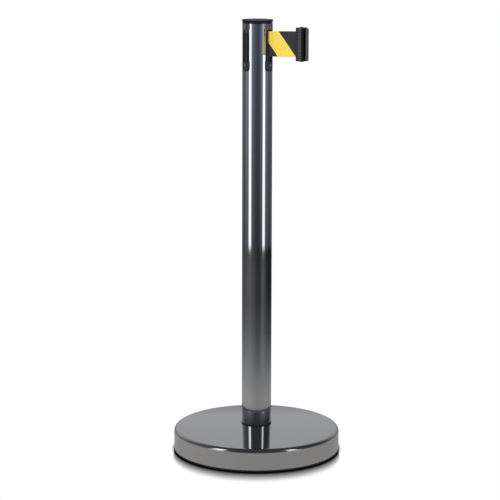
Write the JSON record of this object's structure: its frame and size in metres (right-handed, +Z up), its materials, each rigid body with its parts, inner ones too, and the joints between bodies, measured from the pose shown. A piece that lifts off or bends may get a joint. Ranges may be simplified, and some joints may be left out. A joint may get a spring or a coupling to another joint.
{
  "type": "retractable belt stanchion",
  "caption": "Free-standing queue post with a mirror tube on a round weighted base, a spring-retracted striped belt with an end clip, and slots that take other posts' clips.",
  "frame": {"origin": "on the floor under the post's axis", "axes": "+Z up along the post; +X is the way the belt leaves; the three receivers face -Y, -X and +Y"},
  "size_m": [0.3552, 0.3552, 0.92],
  "materials": {
    "black_rubber": "satin",
    "cast_iron": "matte",
    "base_chrome": "mirror",
    "post_chrome": "mirror",
    "zinc_steel": "satin",
    "raw_steel": "satin",
    "spring_steel": "satin",
    "brass": "satin",
    "frame_plastic": "matte",
    "reel_plastic": "satin",
    "black_plastic": "satin",
    "clip_plastic": "satin",
    "cap_plastic": "gloss",
    "screw_steel": "satin",
    "webbing": "woven, black and yellow diagonal bands"
  },
  "bodies": {
    "stand": {"rubber_ring": "black_rubber", "base_weight": "cast_iron", "base_cover": "base_chrome", "base_bolt": "zinc_steel", "bolt_washer": "zinc_steel", "lock_washer": "zinc_steel", "foot_gasket": "black_rubber", "foot_plug": "raw_steel", "post_tube": "post_chrome", "cassette_frame": "frame_plastic", "cassette_top": "frame_plastic", "frame_screws": "zinc_steel", "reel_axle": "zinc_steel", "axle_clip": "spring_steel", "thrust_washer": "brass", "spring_cover": "zinc_steel", "power_spring": "spring_steel", "receiver_front": "black_plastic", "receiver_left": "black_plastic", "receiver_rear": "black_plastic", "belt_exit_guide": "black_plastic", "guide_pins": "frame_plastic", "insert_screws": "screw_steel", "top_cap": "cap_plastic", "cap_screw": "screw_steel"},
    "reel": {"belt_reel": "reel_plastic", "belt_coil": "webbing"},
    "belt_end": {"belt_strip": "webbing", "belt_end_front": "clip_plastic", "belt_end_rear": "clip_plastic", "belt_pin": "zinc_steel", "belt_end_screws": "screw_steel"}
  },
  "joints": [
    {"name": "belt_pull", "type": "slide", "parent": "stand", "child": "belt_end", "axis": [1, 0, 0], "range_m": [-0.0785, 1.9224], "deforming": ["belt_strip"]},
    {"name": "reel_spin", "type": "hinge", "parent": "stand", "child": "reel", "pos_m": [0, 0, 0.873], "axis": [0, 0, 1], "range_deg": [-7300, 330]}
  ],
  "couplings": [
    {"joint": "reel_spin", "follows": "belt_pull", "rad_per_m": -64}
  ]
}
